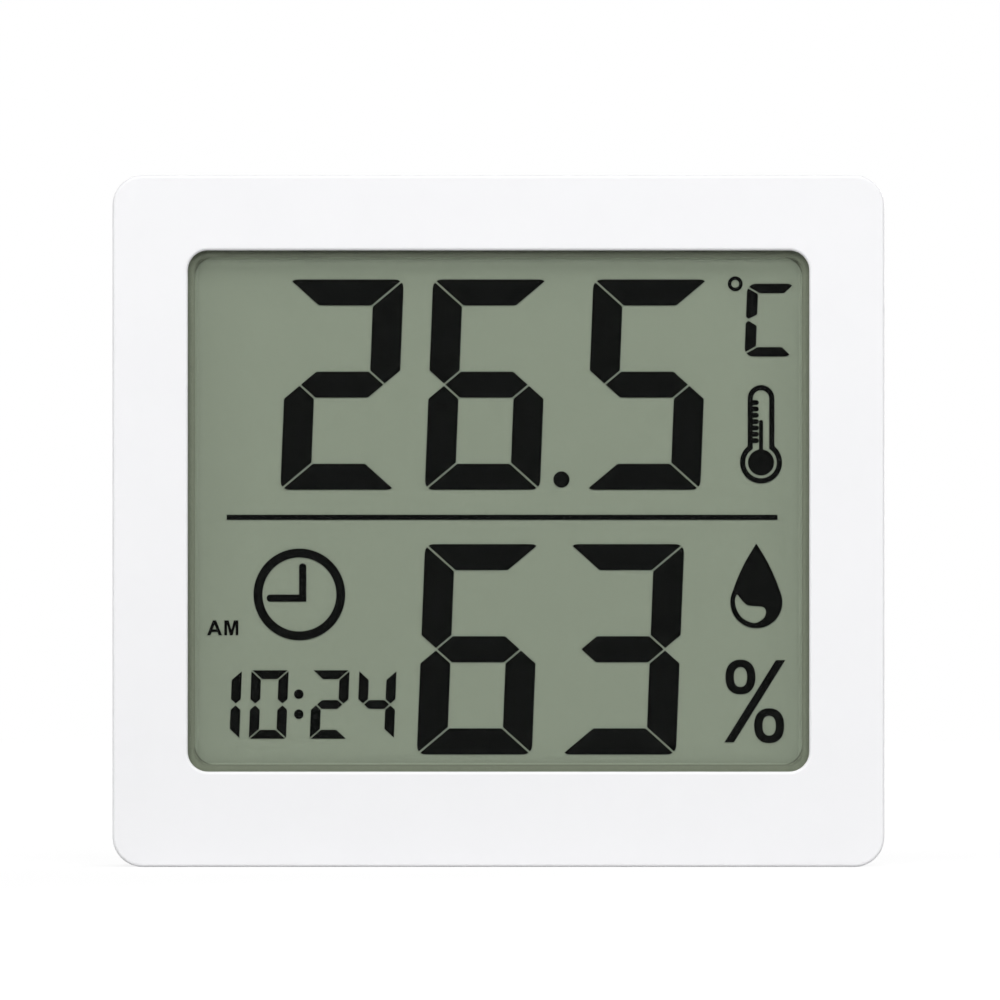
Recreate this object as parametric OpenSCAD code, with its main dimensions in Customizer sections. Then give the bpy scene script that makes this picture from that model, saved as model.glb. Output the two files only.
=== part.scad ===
// Temperature and humidity sensor: a nearly square white case with a large
// segment display, a fold-out stand, a twist-off coin cell door and three
// setting keys on the back.
// Millimetres. X runs to the right, the front looks towards -Y, Z is up.
// The origin lies under the middle of the case, on the plane it stands on.
// Depths are counted from the front face towards the back.

/* [Housing] */
// Width of the case
body_w = 77; // [70:0.5:90]
// Height of the case
body_h = 69; // [62:0.5:80]
// Depth of the case from front face to back face
body_d = 14; // [12.6:0.2:18]
// Corner radius of the case seen from the front
corner_r = 3; // [2.6:0.2:4]
// Thickness of the bezel's side walls
wall_t = 1.8; // [1.6:0.1:2]
// Thickness of the rear cover's back wall
rear_t = 1.6; // [1.4:0.1:1.8]
// Rounding of the front edge
front_edge_r = 0.3; // [0.2:0.1:0.8]
// Rounding of the back edge
rear_edge_r = 1.6; // [0.6:0.2:2]
// Depth of the bezel's side walls
bezel_depth = 9; // [8.6:0.1:9.4]
// Open line between the bezel and the rear cover
reveal = 0.3; // [0.1:0.1:0.5]
// Thickness of the rear cover's locating lip
lip_t = 1; // [0.8:0.1:1.2]
// Length of the locating lip inside the bezel
lip_reach = 1.4; // [1:0.1:1.6]

/* [Window] */
// Border at the left and the right of the window
side_border = 7.5; // [7:0.1:8.5]
// Border above the window
top_border = 7.5; // [7.2:0.1:8.5]
// Border below the window
bottom_border = 9.5; // [9.3:0.1:10.5]
// Corner radius of the window
window_r = 2; // [1.2:0.1:3]
// Rounding of the window's front edge
window_edge_r = 0.3; // [0.1:0.05:0.5]
// Thickness of the rim in front of the lens
rim_t = 0.6; // [0.5:0.1:1.1]
// Thickness of the clear lens
lens_t = 0.5; // [0.5:0.1:1]
// Thickness of the dust gasket behind the lens
gasket_t = 0.15; // [0.15:0.05:0.5]
// Width of the gasket that shows inside the window
gasket_show = 0.7; // [0.3:0.1:1]

/* [Display] */
// Thickness of each display glass
glass_t = 0.4; // [0.4:0.05:0.8]
// Thickness of the polarizing films
film_t = 0.1; // [0.1:0.05:0.3]
// Gap between the two glasses
cell_gap = 0.1; // [0.06:0.02:0.14]
// Width of the window that the display's drawing was laid out for
art_w = 62; // [60:0.5:70]
// Height of the window that the display's drawing was laid out for
art_h = 52; // [50:0.5:60]
// Height of the large digits
digit_h = 21; // [18:0.5:22]
// Width of the large digits
digit_w = 11.5; // [9:0.5:12.5]
// Width of the large digits' lying bars
bar_h = 2.6; // [1.6:0.1:3]
// Width of the large digits' standing bars
bar_v = 3; // [1.8:0.1:3.4]
// Height of the clock's digits
clock_h = 6.83; // [5:0.1:8]
// Width of the clock's digits
clock_w = 3.71; // [2.8:0.1:4]
// Width of the clock digits' bars
clock_bar = 0.93; // [0.5:0.05:1.1]
// Sideways lean of the digits for each unit of height
slant = 0.0395; // [0:0.01:0.08]

/* [Board] */
// Thickness of the circuit board
board_t = 1; // [0.8:0.1:1.2]
// Thickness of the foam between display and board
foam_t = 1.5; // [1:0.1:1.8]
// Diameter of the coin cell
coin_dia = 20; // [16:0.5:20]
// Thickness of the coin cell
coin_t = 3.2; // [2.5:0.1:3.2]

/* [Back] */
// Wall between the hanging slot's box and the battery opening
door_web = 1; // [0.8:0.1:2]
// Wall between the battery opening and the bed of the stand
stand_web = 1.8; // [1.4:0.1:3]
// Turn of the battery door from locked to free
door_turn = 50; // [40:1:55]
// Sideways place of the keys and of the vents
key_x = 26; // [25:0.5:28]
// Distance between two keys
key_pitch = 9.5; // [9:0.5:11]
// Diameter of the keys
key_dia = 6; // [5:0.2:6.4]
// Travel of the keys
key_travel = 0.3; // [0.2:0.05:0.5]
// Width of the stand
stand_w = 34; // [24:1:40]
// Thickness of the stand's plate
stand_t = 2.2; // [1.8:0.1:2.4]
// Radius of the hanging slot's round opening
hang_r = 3; // [2.6:0.1:3.2]
// Radius of the hanging slot's narrow end
hang_slot_r = 1.5; // [1.2:0.1:1.6]
// Distance from the top of the case to the round opening
hang_drop = 11.6; // [11:0.1:13]
// Length of the hanging slot
hang_run = 4.5; // [3:0.1:4.7]
// Number of vent slots
vent_count = 7; // [4:1:8]

/* [Hidden] */
$fn = 64;

// Clearances
slide_gap = 0.15;
seat_gap = 0.2;
touch_gap = 0.05;
pin_gap = 0.05;
hair_gap = 0.02;
cut = 1;

// Depths of the layers, front to back
lens_back = rim_t + lens_t;
gasket_back = lens_back + gasket_t;
front_t = gasket_back - seat_gap;
film_back = gasket_back + film_t;
front_glass_back = film_back + glass_t;
cell_back = front_glass_back + cell_gap;
rear_glass_back = cell_back + glass_t;
reflector_back = rear_glass_back + film_t;
board_front = reflector_back + foam_t;
board_back = board_front + board_t;
rear_inside = body_d - rear_t;
cover_front = bezel_depth + reveal;
lip_front = bezel_depth - lip_reach;
boss_back = lip_front - seat_gap;
screw_seat = boss_back + 2.2;

// Window and display outlines
window_w = body_w - 2 * side_border;
window_h = body_h - top_border - bottom_border;
window_z = bottom_border + window_h / 2;
lens_lap = 1.6;
glass_lap = 1.4;
glass_w = window_w + 2 * glass_lap;
glass_top = body_h - top_border + glass_lap;
glass_foot = bottom_border - 4.4;
rear_glass_foot = bottom_border - 1.5;
film_inset = 0.4;
seal_w = 1;

// Screws: the case screws stand in the corners, the board screws at the sides
case_inset = 3.8;
case_x = body_w / 2 - case_inset;
case_zs = [case_inset, body_h - case_inset];
case_screw_r = 1;
case_head_r = 1.9;
case_head_t = 1.4;
case_screw_run = 6.2;
board_inset = 2.3;
board_x = body_w / 2 - wall_t - board_inset;
board_zs = [18, body_h - 17];
board_screw_r = 0.85;
board_head_r = 1.6;
board_head_t = 1.1;
board_screw_run = 2.5;

// Chip parts
chip_l = 2;
chip_w = 1.2;
chip_drop = 5;
sensor_chip_drop = 14;

// Board outline
board_w = body_w - 2 * wall_t - 1;
board_foot = 7;
board_top = body_h - 7;
tongue_w = window_w - 2;
tongue_foot = glass_foot - 0.5;

// Hanging slot, with the battery opening and the stand below it
hang_z = body_h - hang_drop;
pocket_r = hang_r + 1;
pocket_deep = 3.4;
pocket_t = 1;
pocket_front = rear_inside - pocket_deep;

// Coin cell, holder and door
face_drop = 0.2;
coin_r = coin_dia / 2;
coin_lift = 1.2;
coin_front = board_back + coin_lift;
coin_back = coin_front + coin_t;
holder_r = coin_r + 1.4;
door_r = coin_r + 2;
door_t = 1.55;
door_face = body_d - face_drop;
door_back = door_face - door_t;
ledge_t = 1.2;
ledge_back = door_back - touch_gap;
ledge_front = ledge_back - ledge_t;
ledge_r = coin_r + 1.2;
skirt_r = ledge_r - seat_gap;
skirt_t = 0.7;
tab_r = coin_r + 2.4;
tab_t = 0.6;
tab_back = ledge_front - 0.1;
tab_front = tab_back - tab_t;
tab_span = 30;
notch_span = 36;
dot_r = 0.7;
dot_deep = 0.4;
dot_ring = door_r + 1.6;
holder_back = min(coin_back - 0.7, tab_front - seat_gap);
door_z = hang_z - pocket_r - door_web - tab_r;

// Keys and switches
dish_deep = 0.8;
dish_t = 1.4;
dish_floor = body_d - dish_deep;
dish_inside = dish_floor - dish_t;
flange_t = 0.8;
flange_back = dish_inside - touch_gap;
flange_front = flange_back - flange_t;
switch_w = 6;
switch_t = 3.5;
plunger_r = 1.7;
plunger_out = 1.05;
plunger_in = 1.2;
nose_least = 0.5;
switch_back = min(board_back + switch_t, flange_front - nose_least - plunger_out);
plunger_back = switch_back + plunger_out;
key_zs = [door_z + key_pitch, door_z, door_z - key_pitch];

// Stand and its recess
hinge_room = 2.4;
recess_top = door_z - tab_r - stand_web;
stand_z = recess_top - hinge_room;
stand_face = body_d - face_drop;
stand_back = stand_face - stand_t;
barrel_r = 1.5;
stand_d = stand_face - barrel_r;
stand_head = 1.7;
stand_foot = 0.8;
recess_floor = stand_back - seat_gap;
trough_floor = stand_d - 1.8;
recess_w = stand_w + 2 * seat_gap;
trough_foot = stand_z - 2.2;
recess_t = 1.4;
pin_r = 1;
pin_run = 2.2;

// Y of a depth counted from the front face
function y_at(d) = d - body_d / 2;

// A sheet between two depths, drawn as seen from the front
module sheet(d0, d1) {
  translate([0, y_at(d1), 0])
    rotate([90, 0, 0])
      linear_extrude(d1 - d0)
        children();
}

// A round piece between two depths
module rod(x, z, d0, d1, r) {
  translate([x, y_at(d1), z])
    rotate([90, 0, 0])
      cylinder(r = r, h = d1 - d0);
}

// A block between two depths
module block(x0, x1, z0, z1, d0, d1) {
  translate([x0, y_at(d0), z0])
    cube([x1 - x0, d1 - d0, z1 - z0]);
}

module rounded_rect(w, h, r) {
  square([w, h - 2 * r], center = true);
  square([w - 2 * r, h], center = true);
  for (sx = [-1, 1], sy = [-1, 1])
    translate([sx * (w / 2 - r), sy * (h / 2 - r)])
      circle(r);
}

// A long hole standing upright, r at both ends, run between the two centres
module upright_slot(r, run) {
  translate([-r, 0])
    square([2 * r, run]);
  circle(r);
  translate([0, run])
    circle(r);
}

// A sector of a ring, its middle at the angle a
module ring_sector(r0, r1, a, span) {
  far = 2 * r1;
  rotate(a)
    intersection() {
      difference() {
        circle(r1);
        circle(r0);
      }
      polygon([[0, 0], [far, -far * tan(span / 2)], [far, far * tan(span / 2)]]);
    }
}

// Cross section of a rim: r wide, t high, its outer top edge rounded by f
module rim_profile(r, t, f) {
  square([r, t - f]);
  square([r - f, t]);
  translate([r - f, t - f])
    intersection() {
      circle(f);
      square(f);
    }
}

// Carries a cross section round a rounded rectangle, its inner side at the
// corner centres
module carry_round(w, h, r) {
  for (k = [0 : 3]) {
    along = k % 2 == 0 ? h : w;
    across = k % 2 == 0 ? w : h;
    rotate(90 * k) {
      translate([across / 2 - r, along / 2 - r, 0]) {
        rotate_extrude(angle = 90)
          children();
        rotate([90, 0, 0])
          linear_extrude(along - 2 * r)
            children();
      }
    }
  }
}

// A rounded plate whose upper edge is rounded by f
module soft_plate(w, h, r, t, f) {
  carry_round(w, h, r)
    rim_profile(r, t, f);
  translate([r - w / 2, r - h / 2, 0])
    cube([w - 2 * r, h - 2 * r, t]);
}

// A rim of the width band round an opening, its inner upper edge rounded by f
module soft_rim(w, h, r, t, f, band) {
  carry_round(w, h, r)
    translate([r + band, 0])
      mirror([1, 0])
        rim_profile(band, t, f);
}

// The case outline moved inwards
module case_outline(inset) {
  translate([0, body_h / 2])
    rounded_rect(body_w - 2 * inset, body_h - 2 * inset, max(corner_r - inset, 0.4));
}

// The window outline moved outwards
module window_outline(outset) {
  translate([0, window_z])
    rounded_rect(window_w + 2 * outset, window_h + 2 * outset, max(window_r + outset, 0.4));
}

// A rectangle as wide as the display glass, moved inwards
module glass_outline(foot, inset) {
  translate([inset - glass_w / 2, foot + inset])
    square([glass_w - 2 * inset, glass_top - foot - 2 * inset]);
}

// Puts a child at each case screw
module at_case_screws() {
  for (sx = [-1, 1], z = case_zs)
    translate([sx * case_x, 0, z])
      children();
}

// Puts a child at each board screw
module at_board_screws() {
  for (sx = [-1, 1], z = board_zs)
    translate([sx * board_x, 0, z])
      children();
}

// Window frame and side walls in one moulding
module front_bezel() {
  rim_band = 1.2;
  rib_run = 0.7 * window_w;
  boss_r = 2.4;
  post_r = 1.8;
  color("white")
    difference() {
      union() {
        difference() {
          translate([0, y_at(bezel_depth), body_h / 2])
            rotate([90, 0, 0])
              soft_plate(body_w, body_h, corner_r, bezel_depth, front_edge_r);
          sheet(front_t, bezel_depth + cut)
            case_outline(wall_t);
          sheet(-cut, front_t + cut)
            window_outline(rim_band - 0.5);
        }
        translate([0, y_at(rim_t), window_z])
          rotate([90, 0, 0])
            soft_rim(window_w, window_h, window_r, rim_t, window_edge_r, rim_band);
        // corner bosses for the case screws
        at_case_screws()
          rod(0, 0, front_t - 0.2, boss_back, boss_r);
        for (sx = [-1, 1]) {
          block(sx > 0 ? case_x : -body_w / 2 + wall_t / 2, sx > 0 ? body_w / 2 - wall_t / 2 : -case_x,
            wall_t / 2, case_zs[0], front_t - 0.2, boss_back);
          block(sx > 0 ? case_x : -body_w / 2 + wall_t / 2, sx > 0 ? body_w / 2 - wall_t / 2 : -case_x,
            case_zs[1], body_h - wall_t / 2, front_t - 0.2, boss_back);
        }
        // side posts that carry the board
        at_board_screws()
          rod(0, 0, front_t - 0.2, board_front, post_r);
        // ribs that keep the display in place
        block(-rib_run / 2, rib_run / 2, glass_top + seat_gap, glass_top + seat_gap + 1,
          front_t - 0.2, rear_glass_back);
        block(-rib_run / 2, rib_run / 2, glass_foot - seat_gap - 1, glass_foot - seat_gap,
          front_t - 0.2, front_glass_back);
      }
      // pocket for the lens
      sheet(rim_t, front_t + cut)
        window_outline(lens_lap + slide_gap);
      // screw holes
      at_case_screws()
        rod(0, 0, front_t + 0.8, boss_back + cut, case_screw_r + pin_gap);
      at_board_screws()
        rod(0, 0, front_t + 0.3, board_front + cut, board_screw_r + pin_gap);
    }
}

// Clear lens behind the bezel's rim
module display_window() {
  color("LightSteelBlue", 0.3)
    sheet(rim_t, lens_back)
      window_outline(lens_lap);
}

// Frame that keeps dust out between lens and display
module dust_gasket() {
  color("DimGray")
    sheet(lens_back + hair_gap, gasket_back)
      difference() {
        window_outline(glass_lap - film_inset);
        window_outline(-gasket_show);
      }
}

module front_polarizer() {
  color("DarkSeaGreen", 0.4)
    sheet(gasket_back, film_back)
      glass_outline(rear_glass_foot, film_inset);
}

// Front glass, longer than the rear one so that its contacts lie open below
module front_glass() {
  color("LightCyan", 0.4)
    sheet(film_back, front_glass_back)
      glass_outline(glass_foot, 0);
}

// Seal that holds the two glasses together
module cell_seal() {
  color("Gainsboro")
    sheet(front_glass_back, cell_back)
      difference() {
        glass_outline(rear_glass_foot, 0);
        glass_outline(rear_glass_foot, seal_w);
      }
}

// A point of a digit with the digit's lean
function lean(p) = [p[0] + slant * p[1], p[1]];

// Outline of a digit: a rounded rectangle, leaning
function digit_outline(w, h, r) = [
  for (q = [0 : 3], k = [0 : 4])
    let (
      a = 90 * q + 22.5 * k,
      sx = q == 0 || q == 3 ? 1 : -1,
      sy = q < 2 ? 1 : -1
    )
    lean([sx * (w / 2 - r) + r * cos(a), sy * (h / 2 - r) + r * sin(a)])
];

// Bar of a digit seen as the top bar, W and H half sizes, ex the gap's share
function top_bar(W, H, th, tv, ex) = [
  [ex - W, H], [W - ex, H], [W - tv - ex, H - th], [tv + ex - W, H - th]
];

// Middle bar with pointed ends
function middle_bar(W, th, tv, ex) = [
  [tv / 2 + ex - W, 0], [tv + ex - W, th / 2], [W - tv - ex, th / 2],
  [W - tv / 2 - ex, 0], [W - tv - ex, -th / 2], [tv + ex - W, -th / 2]
];

// Upper right bar
function side_bar(W, H, th, tv, ey) = [
  [W, H - ey], [W - tv, H - th - ey], [W - tv, th / 2 + ey],
  [W - tv / 2, ey], [W, th / 2 + ey]
];

// A digit made of leaning bars with gaps between them
module digit(value, w, h, th, tv, gap, r) {
  lit = ["abcdef", "bc", "abged", "abgcd", "fgbc", "afgcd", "afgedc", "abc", "abcdefg", "abcdfg"];
  W = w / 2;
  H = h / 2;
  diagonal = sqrt(th * th + tv * tv);
  ex = gap / 2 * diagonal / th;
  ey = gap / 2 * diagonal / tv;
  intersection() {
    polygon(digit_outline(w, h, r));
    for (name = lit[value])
      polygon([
        for (p = name == "a" || name == "d" ? top_bar(W, H, th, tv, ex)
               : name == "g" ? middle_bar(W, th, tv, ex)
               : side_bar(W, H, th, tv, ey))
          lean([
            name == "e" || name == "f" ? -p[0] : p[0],
            name == "c" || name == "d" || name == "e" ? -p[1] : p[1]
          ])
      ]);
  }
}

// Dark bars of the display, 26.5 above 63 beside the time 10:24. Places are
// those of the drawing, which is stretched to the window.
module lcd_segments() {
  bar_gap = 0.18;
  clock_gap = 0.14;
  sx = window_w / art_w;
  sz = window_h / art_h;
  upper_row = 12.62;
  lower_row = -13.802;
  clock_row = -19.315;
  colon_row = -19.28;
  colon_x = -19.942;
  color("Black")
    sheet(front_glass_back + hair_gap, cell_back - hair_gap)
      translate([0, window_z]) {
        for (d = [
          [2, -15.618, upper_row], [6, -1.199, upper_row], [5, 14.81, upper_row],
          [6, -2, lower_row], [3, 12.385, lower_row]
        ])
          translate([sx * d[1], sz * d[2]])
            digit(d[0], sx * digit_w, sz * digit_h, sz * bar_h, sx * bar_v, bar_gap, 0.85);
        for (d = [[1, -27.607], [0, -22.94], [2, -16.86], [4, -12.17]])
          translate([sx * d[1], sz * clock_row])
            digit(d[0], sx * clock_w, sz * clock_h, sz * (clock_bar - 0.05), sx * (clock_bar + 0.05),
              clock_gap, 0.15);
        translate([sx * 6.282, sz * (upper_row - 9.47)])
          circle(min(sx, sz) * 0.81);
        for (s = [-1, 1])
          translate([sx * colon_x, sz * (colon_row + s)])
            circle(min(sx, sz) * 0.475);
        translate([sx * 0.36, sz * -0.625])
          square([sx * 55, sz * 0.51], center = true);
      }
}

module rear_glass() {
  color("LightCyan", 0.4)
    sheet(cell_back, rear_glass_back)
      glass_outline(rear_glass_foot, 0);
}

// Rear polarizer with the grey-green reflecting layer
module reflector() {
  color("DarkSeaGreen")
    sheet(rear_glass_back, reflector_back)
      glass_outline(rear_glass_foot, film_inset);
}

module foam_pad() {
  side_inset = 5;
  end_inset = 3;
  color("SlateGray")
    sheet(reflector_back, board_front)
      translate([0, window_z])
        square([window_w - 2 * side_inset, window_h - 2 * end_inset], center = true);
}

// Rubber strip that joins the display's contacts to the board
module contact_strip() {
  strip_inset = 3;
  strip_w = window_w - 2 * strip_inset;
  color("LightPink")
    block(-strip_w / 2, strip_w / 2, glass_foot + 0.5, rear_glass_foot - 0.4,
      front_glass_back, board_front);
}

module circuit_board() {
  color("SeaGreen")
    sheet(board_front, board_back)
      difference() {
        union() {
          translate([-board_w / 2, board_foot])
            square([board_w, board_top - board_foot]);
          translate([-tongue_w / 2, tongue_foot])
            square([tongue_w, board_foot]);
        }
        for (sx = [-1, 1], z = board_zs)
          translate([sx * board_x, z])
            circle(board_screw_r + slide_gap);
      }
}

// Dome of black resin over the controller
module controller_blob() {
  dome_r = 9;
  dome_h = 1.6;
  color("Black")
    translate([-8, y_at(board_back), 14])
      rotate([-90, 0, 0])
        rotate_extrude($fn = 96)
          intersection() {
            translate([0, dome_h - dome_r])
              circle(dome_r, $fn = 192);
            square([dome_r, dome_h + cut]);
          }
}

// Watch crystal: a small can lying on the board, with two wires
module clock_crystal() {
  can_x = 5;
  can_z = 14;
  can_r = 1;
  can_l = 6;
  wire_l = 1.8;
  wire_w = 0.2;
  color("Silver") {
    translate([can_x, y_at(board_back + can_r), can_z])
      rotate([0, 90, 0])
        cylinder(r = can_r, h = can_l);
    for (s = [-1, 1])
      translate([can_x, 0, can_z + s * can_r / 2])
        block(-wire_l, wire_w / 2, -wire_w / 2, wire_w / 2, board_back, board_back + can_r);
  }
}

// Slotted box behind the vents
module humidity_sensor() {
  shell_w = 9;
  shell_h = 7;
  shell_t = 3.5;
  groove_w = 7;
  groove_h = 0.8;
  groove_pitch = 1.6;
  groove_deep = 1.2;
  color("White")
    translate([key_x, 0, door_z])
      difference() {
        block(-shell_w / 2, shell_w / 2, -shell_h / 2, shell_h / 2, board_back, board_back + shell_t);
        for (k = [-1.5 : 1 : 1.5])
          translate([0, 0, groove_pitch * k])
            block(groove_w / -2, groove_w / 2, groove_h / -2, groove_h / 2,
              board_back + shell_t - groove_deep, board_back + shell_t + cut);
      }
}

// Bead on two wires
module thermistor() {
  bead_r = 1.1;
  bead_lift = 2.6;
  bead_drop = 9;
  wire_r = 0.22;
  wire_pitch = 1;
  color("SaddleBrown") {
    translate([key_x, y_at(board_back + bead_lift), door_z - bead_drop])
      sphere(bead_r);
    for (s = [-1, 1])
      rod(key_x + s * wire_pitch / 2, door_z - bead_drop, board_back, board_back + bead_lift - bead_r / 2, wire_r);
  }
}

// A chip part lying on the board
module chip(x, z, t) {
  block(x - chip_l / 2, x + chip_l / 2, z - chip_w / 2, z + chip_w / 2, board_back, board_back + t);
}

module chip_resistors() {
  color("DarkSlateGray")
    for (p = [
      [-22, 13], [-22, 16], [16, 12], [16, 15],
      [-14, board_top - chip_drop], [-10, board_top - chip_drop]
    ])
      chip(p[0], p[1], 0.5);
}

module chip_capacitors() {
  color("Tan")
    for (p = [[-22, 19], [16, 18], [20, 12], [20, 15], [key_x, door_z - sensor_chip_drop]])
      chip(p[0], p[1], 0.8);
}

// Round tray for the coin cell
module battery_holder() {
  strip_room = 2.6;
  leaf_room = 2.8;
  color("DimGray")
    difference() {
      rod(0, door_z, board_back, holder_back, holder_r);
      rod(0, door_z, coin_front - 0.3, coin_back, coin_r + 0.3);
      block(2 - coin_r, coin_r - 2, door_z - strip_room, door_z + strip_room, board_back - cut, coin_front);
      block(coin_r - 0.6, holder_r + cut, door_z - leaf_room, door_z + leaf_room,
        board_back - cut, coin_back);
    }
}

// Arched strip under the coin cell
module negative_contact() {
  rise = coin_front - board_back;
  strip_t = 0.2;
  strip_w = 4;
  reach = 7.4;
  bend = 5.5;
  crown = 3;
  skew = strip_t / 2;
  color("Silver")
    translate([0, y_at(board_back), door_z - strip_w / 2])
      linear_extrude(strip_w)
        polygon([
          [-reach, 0], [-bend, 0], [-crown, rise - strip_t], [crown, rise - strip_t], [bend, 0], [reach, 0],
          [reach, strip_t], [bend + skew, strip_t], [crown + skew, rise],
          [-crown - skew, rise], [-bend - skew, strip_t], [-reach, strip_t]
        ]);
}

// Leaf at the side of the coin cell, with a foot on the board
module positive_contact() {
  leaf = coin_r + 0.02;
  leaf_t = 0.3;
  leaf_w = 5;
  foot_run = 2.8;
  color("Silver")
    translate([leaf, 0, door_z - leaf_w / 2]) {
      block(0, leaf_t, 0, leaf_w, board_back, holder_back - 0.1);
      block(0, foot_run, 0, leaf_w, board_back, board_back + leaf_t);
    }
}

// Coin cell: wide can towards the door, narrower cap towards the board
module coin_cell() {
  cap_t = 0.3;
  color("LightGray") {
    rod(0, door_z, coin_front, coin_front + cap_t + 0.1, coin_r - 1.2);
    translate([0, y_at(coin_front + cap_t), door_z])
      rotate([-90, 0, 0])
        rotate_extrude()
          rim_profile(coin_r, coin_t - cap_t, 0.3);
  }
}

// Push switch without its plunger, on four bent feet
module switch_base(z) {
  foot_w = 0.7;
  foot_out = 0.9;
  foot_t = 0.3;
  color("DarkSlateGray")
    difference() {
      translate([-key_x, 0, z]) {
        block(-switch_w / 2, switch_w / 2, -switch_w / 2, switch_w / 2, board_back, switch_back);
        for (sx = [-1, 1], sz = [-1, 1])
          translate([sx * (switch_w / 2 + foot_out / 2), 0, sz * 0.36 * switch_w])
            block(-foot_out / 2 - 0.1, foot_out / 2 + 0.1, -foot_w / 2, foot_w / 2,
              board_back, board_back + foot_t);
      }
      rod(-key_x, z, switch_back - plunger_in - key_travel - 0.1, switch_back + cut, plunger_r + slide_gap);
    }
}

module upper_switch() {
  switch_base(key_zs[0]);
}

module middle_switch() {
  switch_base(key_zs[1]);
}

module lower_switch() {
  switch_base(key_zs[2]);
}

// Plunger of a push switch
module switch_plunger(z) {
  color("Ivory")
    rod(-key_x, z, switch_back - plunger_in, plunger_back, plunger_r);
}

module upper_plunger() {
  switch_plunger(key_zs[0]);
}

module middle_plunger() {
  switch_plunger(key_zs[1]);
}

module lower_plunger() {
  switch_plunger(key_zs[2]);
}

// Key cap: rounded head, flange that keeps it in, and a nose on the plunger
module key_cap(z) {
  key_r = key_dia / 2;
  color("Gainsboro") {
    translate([-key_x, y_at(flange_front), z])
      rotate([-90, 0, 0])
        rotate_extrude()
          rim_profile(key_r, body_d - face_drop - flange_front, 0.6);
    rod(-key_x, z, flange_front, flange_back, key_r + 0.8);
    rod(-key_x, z, plunger_back, flange_front + 0.1, plunger_r - 0.3);
  }
}

module upper_key() {
  key_cap(key_zs[0]);
}

module middle_key() {
  key_cap(key_zs[1]);
}

module lower_key() {
  key_cap(key_zs[2]);
}

// Pan head screws that hold the board on the bezel's posts
module board_screws() {
  color("Silver")
    at_board_screws() {
      rod(0, 0, board_back, board_back + board_head_t, board_head_r);
      rod(0, 0, board_front - board_screw_run, board_back + 0.1, board_screw_r);
    }
}

// Pan head screws with a cross recess, which hold the rear cover on the bezel
module case_screws() {
  cross_w = 2.2;
  cross_t = 0.5;
  color("Silver")
    at_case_screws()
      difference() {
        union() {
          rod(0, 0, screw_seat, screw_seat + case_head_t, case_head_r);
          rod(0, 0, screw_seat - case_screw_run, screw_seat + 0.1, case_screw_r);
        }
        for (w = [[cross_w, cross_t], [cross_t, cross_w]])
          block(-w[0] / 2, w[0] / 2, -w[1] / 2, w[1] / 2, screw_seat + case_head_t / 2,
            screw_seat + case_head_t + cut);
      }
}

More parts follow.
